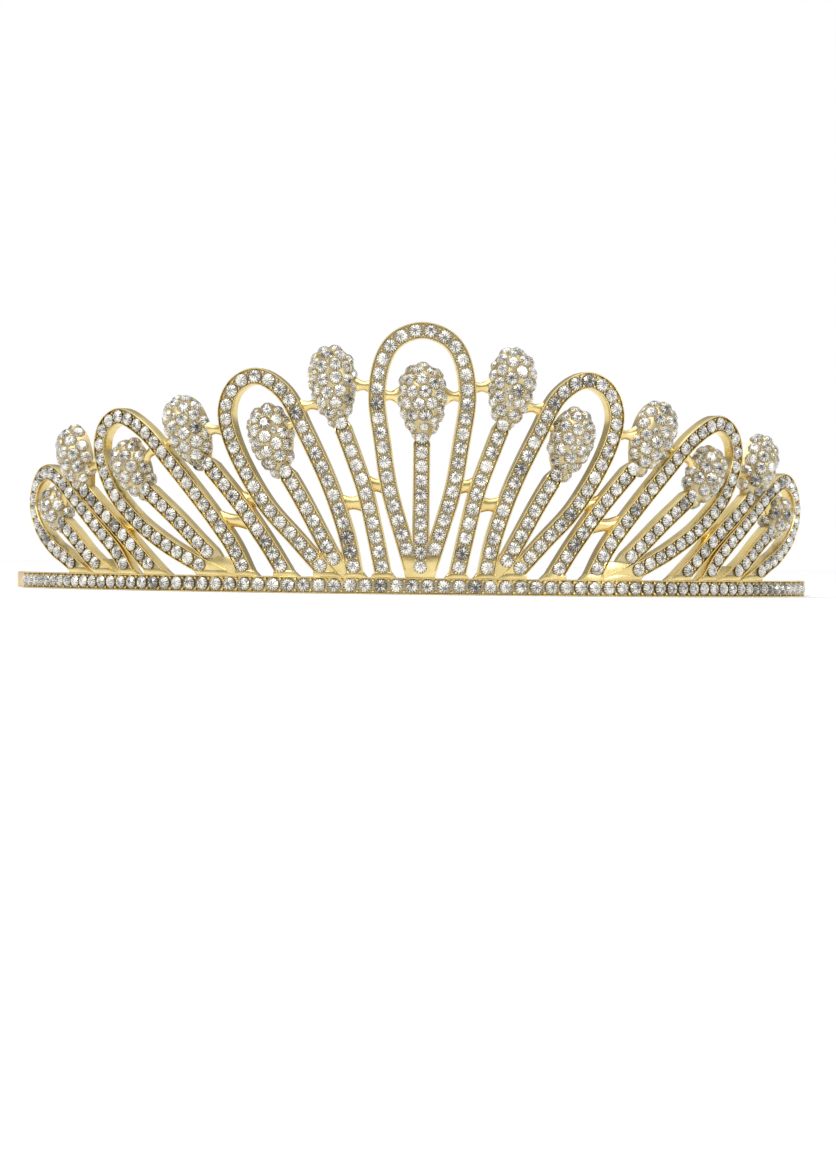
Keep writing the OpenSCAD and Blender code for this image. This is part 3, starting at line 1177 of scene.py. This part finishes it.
@dataclass
class Bulb:
    """Balloon-shaped bulb with a flat back, studded all over its front."""

    bottom: Vector
    top: Vector
    share: float
    widest: float = 8.6
    depth: float = 5.2
    shell_inset: float = 0.42
    stone_radii: tuple[float, ...] = (1.1, 0.82, 0.58)
    net_step: float = 0.16
    starts: int = 6
    lowest_share: float = 0.04
    neck_share: float = 0.14
    outline: tuple[tuple[float, float], ...] = (
        (-0.02, 0.28), (0.07, 0.42), (0.2, 0.67), (0.38, 0.91), (0.55, 0.99), (0.68, 0.985),
        (0.8, 0.89), (0.9, 0.7), (0.97, 0.42), (1.0, 0.0),
    )

    def half_width(self, share: float) -> float:
        """Half width of the shell at a share of its length."""
        width = 0.0
        for (t0, w0), (t1, w1) in zip(self.outline, self.outline[1:]):
            if t0 <= share <= t1:
                width = w0 + (w1 - w0) * (share - t0) / (t1 - t0)
        return (self.widest / 2 * self.share - self.shell_inset) * width

    def flat_frame(self) -> Matrix:
        """Frame of the bulb in the flat drawing: x across, y up its axis, z outward."""
        up = (self.top - self.bottom).normalized()
        across = Vector((up.y, -up.x))
        turn = Matrix((across.to_3d(), up.to_3d(), Vector((0, 0, 1)))).transposed()
        return Matrix.Translation(self.bottom.to_3d()) @ turn.to_4x4()

    def swell(self) -> float:
        """Depth of the shell as a share of its half width, at the widest place."""
        return (self.depth - 0.45) / (self.widest / 2 - self.shell_inset)

    def surface(self, share: float, turn: float) -> Vector:
        """Point of the shell in the flat drawing.

        Args:
            share: Share of the length from the bottom.
            turn: Angle round the axis, 0 at the right edge and half a turn at the left.

        Returns:
            The point.
        """
        length = (self.top - self.bottom).length
        half = self.half_width(share)
        return self.flat_frame() @ Vector(
            (half * math.cos(turn), share * length, half * math.sin(turn) * self.swell())
        )

    def shell(self) -> Workpiece:
        """Half a spun balloon, closed flat at the back."""
        work = Workpiece()
        length = (self.top - self.bottom).length
        size = self.widest / 2 * self.share - self.shell_inset
        spots = [Vector((self.outline[0][0], 0)), *FlatPath(self.outline, 2).points]
        corners = [work.bm.verts.new((max(0.0, p.y) * size, p.x * length, 0)) for p in spots]
        edges = [work.bm.edges.new(pair) for pair in zip(corners, corners[1:])]
        bmesh.ops.spin(work.bm, geom=edges, cent=(0, 0, 0), axis=(0, -1, 0), angle=math.pi, steps=14)
        bmesh.ops.remove_doubles(work.bm, verts=work.bm.verts[:], dist=1e-4)
        bmesh.ops.holes_fill(work.bm, edges=[e for e in work.bm.edges if e.is_boundary])
        bmesh.ops.scale(work.bm, vec=(1, 1, self.swell()), verts=work.bm.verts[:])
        work.outward()
        # Painted shade over the whole front of the shell, which shows in the gaps between the stones.
        work.mark(0.9, above=0.2)
        bmesh.ops.transform(work.bm, matrix=self.flat_frame(), verts=work.bm.verts[:])
        work.wrap()
        return work

    def net(self) -> list[tuple[float, float]]:
        """Fine net of places over the shell, each as its share of the length and its turn."""
        length = (self.top - self.bottom).length
        steps = 60
        side = FlatPath([(self.half_width(k / steps), length * k / steps) for k in range(1, steps + 1)], 1)
        found = []
        for row in range(math.floor(side.length / self.net_step)):
            spot = side.at(self.net_step * (row + 0.5))
            share = spot.y / length
            if not self.lowest_share < share < 0.995:
                continue
            girth = spot.x * (1 + self.swell()) / 2 * math.pi
            count = max(1, round(girth / self.net_step))
            margin = 0.5 if share < self.neck_share else 0.16
            turns = (math.pi * k / count for k in range(1, count))
            found += [(share, turn) for turn in turns if margin < turn < math.pi - margin]
        return found

    def seat(self, share: float, turn: float) -> Matrix:
        """Frame of a stone that sits on the shell and looks away from it.

        Args:
            share: Share of the length from the bottom.
            turn: Angle round the axis.

        Returns:
            Frame in metres for a stone in millimetres.
        """
        low, high = share - 0.03, min(share + 0.03, 0.995)
        up = CURVE.place(self.surface(high, turn)) - CURVE.place(self.surface(low, turn))
        across = CURVE.place(self.surface(share, turn - 0.05)) - CURVE.place(self.surface(share, turn + 0.05))
        out = across.cross(up).normalized()
        across = up.cross(out).normalized()
        facing = Matrix((across, out.cross(across), out)).transposed().to_4x4()
        spot = CURVE.place(self.surface(share, turn))
        return Matrix.Translation(spot) @ facing @ Matrix.Scale(MM, 4)


@dataclass
class StoneRail:
    """Straight row of stones along the foot of the crest."""

    half_count: int = 35
    pitch: float = 2.55
    height: float = 2.8
    stone_radius: float = 1.13
    girdle: float = 2.12
    seat: float = 1.75
    end_run: float = 1.15

    def build(self, setter: StoneSetter, pattern: StonePattern, gold: bpy.types.Material) -> StoneGroup:
        """Builds the rail and takes the places of its stones.

        Args:
            setter: Keeper of the stones' places.
            pattern: Meshes that are copied.
            gold: Finish of the metal.

        Returns:
            The group of the rail's stones.
        """
        work = Workpiece()
        stop = self.half_count * self.pitch + self.end_run
        path = FlatPath(((-stop, self.height / 2), (0, self.height / 2), (stop, self.height / 2)), 1)
        w = self.height / 2
        section = [
            (-w + 0.15, 0), (w - 0.15, 0), (w, 0.15), (w, self.seat - 0.05),
            (w - 0.12, self.seat), (-w + 0.12, self.seat), (-w, self.seat - 0.05), (-w, 0.15),
        ]
        count = 150
        body = Workpiece()
        frames = [path.frame(2 * stop * k / count) for k in range(count + 1)]
        ends = [0.35, 0.75, 0.93]
        shaped = []
        for k, station in enumerate(frames):
            near = min(k, count - k)
            shaped.append(station @ Matrix.Scale(ends[near] if near < len(ends) else 1.0, 4, (1, 0, 0)))
        # Painted shade on the rail's seat floor between its rims.
        body.sweep(section, shaped, [0, 0, 0, 0.1, 1, 1, 0.1, 0])
        rim = [(-0.11, 1.3), (0.11, 1.3), (0.11, 2.16), (0.05, 2.27), (-0.05, 2.27), (-0.11, 2.16)]
        for across in (-w + 0.11, w - 0.11):
            runs = [0.9 + (2 * stop - 1.8) * k / count for k in range(count + 1)]
            body.sweep(rim, [path.frame(run, across) for run in runs])
        body.outward()
        body.wrap()
        work.take(body)
        group = StoneGroup("stones_on_rail", ("rail_stones",))
        for k in range(-self.half_count, self.half_count):
            s = (k + 0.5) * self.pitch
            seat = setter.claim(CURVE.stand(Vector((s, w, self.girdle))), self.stone_radius)
            if seat is not None:
                group.seats.append(seat)
        for k in range(-self.half_count, self.half_count + 1):
            for across in (-0.92, 0.92):
                spot = Vector((k * self.pitch, w + across, self.seat + 0.25))
                work.stamp(pattern.grain, CURVE.stand(spot) @ Matrix.Scale(0.3, 4))
        work.piece("stone_rail", gold, Slot.GOLD, ("frame",), 40)
        return group


@dataclass
class HeadbandStrip:
    """Plain strip behind the rail that runs on as two tails with rounded points."""

    height: float = 2.7
    thickness: float = 1.5
    stop: float = 125.25
    tip: tuple[tuple[float, float], ...] = (
        (0, 0.2), (0.15, 0.36), (0.45, 0.52), (0.9, 0.68), (1.6, 0.82), (2.6, 0.91), (4.2, 0.97), (7, 1),
    )

    def build(self, satin: bpy.types.Material) -> None:
        """Builds the strip from tip to tip."""
        work = Workpiece()
        w, t = self.height / 2, self.thickness
        path = FlatPath(((-self.stop, w), (0, w), (self.stop, w)), 1)
        r = 0.3
        section = [
            (-w + r, -t), (w - r, -t), (w - 0.09, -t + 0.09), (w, -t + r), (w, -r), (w - 0.09, -0.09),
            (w - r, 0), (-w + r, 0), (-w + 0.09, -0.09), (-w, -r), (-w, -t + r), (-w + 0.09, -t + 0.09),
        ]
        middle = 120
        inner = self.stop - self.tip[-1][0]
        rows = [(-self.stop + run, share) for run, share in self.tip[:-1]]
        rows += [(-inner + 2 * inner * k / middle, 1.0) for k in range(middle + 1)]
        rows += [(self.stop - run, share) for run, share in reversed(self.tip[:-1])]
        frames = [
            path.frame(s + self.stop) @ Matrix.Scale(share, 4, (1, 0, 0)) for s, share in rows
        ]
        work.sweep(section, frames)
        work.outward()
        work.wrap()
        work.piece("headband_strip", satin, Slot.GOLD, ("frame",), 35)


@dataclass
class Studio:
    """Pale floor, soft lights and the camera."""

    distance: float = 0.813
    azimuth: float = 1.1
    elevation: float = -0.9
    roll: float = 0.7
    focal_px: float = 4705.2
    optical_x: float = 416.5
    optical_y: float = 477.3
    target: Vector = field(default_factory=lambda: Vector((0, -0.0099, 0.02)))

    def build(self) -> None:
        """Sets up the whole studio."""
        self._floor()
        self._world()
        self._light("key", (-0.7, -0.9, 0.8), 0.35, 3.5, (1.0, 0.985, 0.96))
        self._light("fill", (0.9, -0.7, 0.4), 0.3, 2, (0.97, 0.985, 1.0))
        self._daylight()
        self._camera()
        bpy.context.scene.view_settings.view_transform = "Standard"

    @staticmethod
    def _floor() -> None:
        """Lays a wide matt floor."""
        bm = bmesh.new()
        bmesh.ops.create_circle(bm, cap_ends=True, segments=64, radius=1.6)
        mesh = bpy.data.meshes.new("floor")
        bm.to_mesh(mesh)
        bm.free()
        mesh.materials.append(PaleFloor().make())
        floor = bpy.data.objects.new("floor", mesh)
        bpy.context.scene.collection.objects.link(floor)

    @staticmethod
    def _world() -> None:
        """Lights the surroundings: white at the horizon, greyer overhead."""
        world = bpy.data.worlds.new("studio")
        bpy.context.scene.world = world
        world.use_nodes = True
        tree = world.node_tree
        spot = tree.nodes.new("ShaderNodeTexCoord")
        split = tree.nodes.new("ShaderNodeSeparateXYZ")
        ramp = tree.nodes.new("ShaderNodeValToRGB")
        tree.links.new(spot.outputs["Generated"], split.inputs[0])
        tree.links.new(split.outputs[2], ramp.inputs[0])
        tree.links.new(ramp.outputs[0], tree.nodes["Background"].inputs["Color"])
        stops = [(0.0, (1, 1, 1, 1)), (0.13, (1, 1, 1, 1)), (0.2, (0.3, 0.3, 0.31, 1)),
                 (0.5, (0.35, 0.35, 0.36, 1)), (0.75, (0.8, 0.8, 0.8, 1)), (1.0, (0.9, 0.9, 0.9, 1))]
        Shader._set_stops(ramp.color_ramp, stops)
        tree.nodes["Background"].inputs["Strength"].default_value = 1.0

    @staticmethod
    def _daylight() -> None:
        """Adds an even, very soft light from overhead."""
        data = bpy.data.lights.new("overhead", "SUN")
        data.energy = 1.3
        data.angle = math.radians(60)
        lamp = bpy.data.objects.new("overhead", data)
        lamp.rotation_euler = (math.radians(12), math.radians(-8), 0)
        bpy.context.scene.collection.objects.link(lamp)

    @staticmethod
    def _light(name: str, spot: tuple[float, ...], size: float, power: float, colour: tuple[float, ...]) -> None:
        """Hangs a square soft light that looks at the tiara."""
        data = bpy.data.lights.new(name, "AREA")
        data.shape = "SQUARE"
        data.size = size
        data.energy = power
        data.color = colour
        lamp = bpy.data.objects.new(name, data)
        lamp.location = spot
        lamp.rotation_euler = (Vector((0, 0, 0.02)) - Vector(spot)).to_track_quat("-Z", "Y").to_euler()
        bpy.context.scene.collection.objects.link(lamp)

    def _camera(self) -> None:
        """Places the camera at the photo's side and distance, low over the floor."""
        a, e = math.radians(self.azimuth), math.radians(self.elevation)
        back = Vector((-math.cos(e) * math.sin(a), -math.cos(e) * math.cos(a), math.sin(e)))
        data = bpy.data.cameras.new("camera")
        data.lens = self.focal_px / max(IMAGE_SIZE) * data.sensor_width
        camera = bpy.data.objects.new("camera", data)
        look = (-back).to_track_quat("-Z", "Y")
        across = math.atan((self.optical_x - IMAGE_SIZE[0] / 2) / self.focal_px)
        down = math.atan((self.optical_y - IMAGE_SIZE[1] / 2) / self.focal_px)
        aim = Matrix.Rotation(across, 4, "Y") @ Matrix.Rotation(down, 4, "X")
        turn = look.to_matrix().to_4x4() @ aim @ Matrix.Rotation(math.radians(self.roll), 4, "Z")
        camera.matrix_world = Matrix.Translation(self.target + back * self.distance) @ turn
        data.clip_start, data.clip_end = 0.01, 50
        bpy.context.scene.collection.objects.link(camera)
        bpy.context.scene.camera = camera


def main() -> None:
    """Builds the tiara piece by piece, then the studio round it."""
    logging.basicConfig(level=logging.INFO, format="%(message)s")
    gold = CastGold().make()
    satin = SatinGold().make()
    crystal = CutCrystal().make()
    pattern = StonePattern()
    setter = StoneSetter()
    dice = random.Random(11)
    HeadbandStrip().build(satin)
    groups = [StoneRail().build(setter, pattern, gold)]
    crest = Crest(setter, pattern, gold)
    crest.build_loops()
    crest.build_stems()
    crest.build_bulbs()
    crest.build_joints()
    for group in groups + crest.groups:
        group.build(pattern, crystal, dice)
    Studio().build()


if __name__ == "__main__":
    main()
